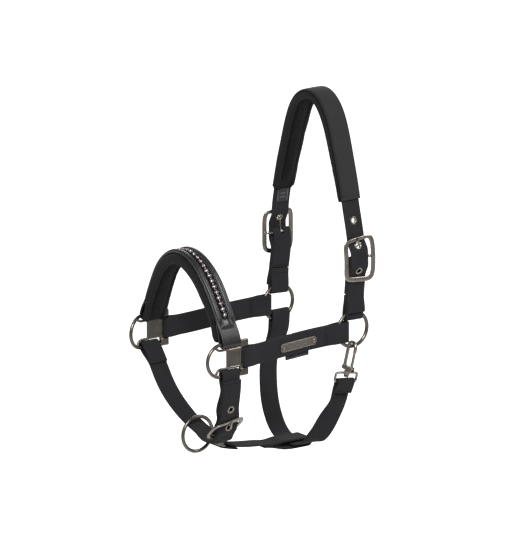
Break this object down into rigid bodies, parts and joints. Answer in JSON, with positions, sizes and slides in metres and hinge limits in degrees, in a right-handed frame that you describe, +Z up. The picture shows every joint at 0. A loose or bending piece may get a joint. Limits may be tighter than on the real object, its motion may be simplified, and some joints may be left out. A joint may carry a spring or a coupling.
{
  "type": "stable headcollar",
  "caption": "Padded webbing horse halter with a leather noseband and bead strip, buckled crown, adjustable chin strap, snap-closed throat strap and metal rings.",
  "frame": {"origin": "middle of the underside of the crown pad, where it rests on the horse's poll", "axes": "+Z up along the crown, +X towards the horse's rear, -X to the nose, +Y to the off (right) side and -Y to the near (left) side"},
  "size_m": [0.2468, 0.1765, 0.4365],
  "materials": {
    "black_webbing": "matt woven polyester webbing",
    "black_sleeve": "smooth matt padded sleeve",
    "black_padding": "soft matt padding",
    "black_leather": "grained satin leather",
    "gunmetal": "satin dark gunmetal plating",
    "light_gunmetal": "satin gunmetal plating",
    "bead_chain": "small faceted stones in dark cups",
    "woven_label": "plain woven label"
  },
  "bodies": {
    "harness": {"cheek_tab_label": "woven_label", "chin_buckle_frame": "light_gunmetal", "chin_buckle_strap": "black_webbing", "chin_eyelet_1": "light_gunmetal", "chin_eyelet_2": "light_gunmetal", "chin_strap": "black_webbing", "crown_cover": "black_sleeve", "crown_pad": "black_padding", "crown_strap": "black_webbing", "jaw_strap": "black_webbing", "name_plate": "light_gunmetal", "name_plate_rivet_front": "light_gunmetal", "name_plate_rivet_rear": "light_gunmetal", "near_buckle_strap": "black_webbing", "near_cheek_strap": "black_webbing", "near_crown_buckle_frame": "light_gunmetal", "near_crown_eyelet_1": "light_gunmetal", "near_crown_eyelet_2": "light_gunmetal", "near_crown_eyelet_3": "light_gunmetal", "near_fitting": "gunmetal", "noseband_bead_chain": "bead_chain", "noseband_overlay": "black_leather", "noseband_pad": "black_padding", "off_buckle_strap": "black_webbing", "off_cheek_strap": "black_webbing", "off_crown_buckle_frame": "light_gunmetal", "off_crown_eyelet_1": "light_gunmetal", "off_crown_eyelet_2": "light_gunmetal", "off_fitting": "gunmetal", "size_label": "woven_label", "snap_swivel_loop": "light_gunmetal", "throat_strap": "black_webbing"},
    "near_tongue": {"near_crown_buckle_tongue": "light_gunmetal"},
    "off_tongue": {"off_crown_buckle_tongue": "light_gunmetal"},
    "chin_tongue": {"chin_buckle_tongue": "light_gunmetal"},
    "near_ring": {"near_side_ring": "gunmetal"},
    "off_ring": {"off_side_ring": "gunmetal"},
    "chin_ring_body": {"chin_ring": "gunmetal"},
    "gate": {"snap_gate": "light_gunmetal"},
    "link": {"jaw_link": "gunmetal"},
    "hook": {"snap_hook_body": "light_gunmetal", "snap_gate_pin": "light_gunmetal", "snap_gate_spring": "gunmetal"}
  },
  "joints": [
    {"name": "near_tongue_lift", "type": "hinge", "parent": "harness", "child": "near_tongue", "pos_m": [0.00103, -0.0784, -0.1817], "axis": [1, 0, 0], "range_deg": [0, 4]},
    {"name": "off_tongue_lift", "type": "hinge", "parent": "harness", "child": "off_tongue", "pos_m": [0.003, 0.0784, -0.18187], "axis": [-1, 0, 0], "range_deg": [0, 4]},
    {"name": "chin_tongue_lift", "type": "hinge", "parent": "harness", "child": "chin_tongue", "pos_m": [-0.17771, -0.05197, -0.37425], "axis": [0.9868, -0.101, 0.1265], "range_deg": [0, 4]},
    {"name": "near_ring_turn", "type": "hinge", "parent": "harness", "child": "near_ring", "pos_m": [-0.0025, -0.075, -0.26871], "axis": [0, 1, 0], "continuous": true},
    {"name": "off_ring_turn", "type": "hinge", "parent": "harness", "child": "off_ring", "pos_m": [-0.0025, 0.075, -0.26871], "axis": [0, 1, 0], "continuous": true},
    {"name": "chin_ring_turn", "type": "hinge", "parent": "harness", "child": "chin_ring_body", "pos_m": [-0.1761, 0, -0.38671], "axis": [0, 1, 0], "continuous": true},
    {"name": "snap_swivel", "type": "hinge", "parent": "harness", "child": "hook", "pos_m": [-0.00819, -0.07131, -0.32328], "axis": [0.1673, -0.1085, 0.9799], "range_deg": [-25, 25]},
    {"name": "snap_gate_open", "type": "hinge", "parent": "hook", "child": "gate", "pos_m": [-0.00705, -0.07871, -0.31735], "axis": [-0.9859, -0.0184, 0.1663], "range_deg": [0, 20], "stiffness_Nm_per_rad": 0.01, "springref_deg": -9.74, "deforming": ["snap_gate_spring"]},
    {"name": "jaw_link_swing", "type": "hinge", "parent": "harness", "child": "link", "pos_m": [-0.15104, -0.0035, -0.40096], "axis": [0, 1, 0], "range_deg": [0, 15]}
  ]
}
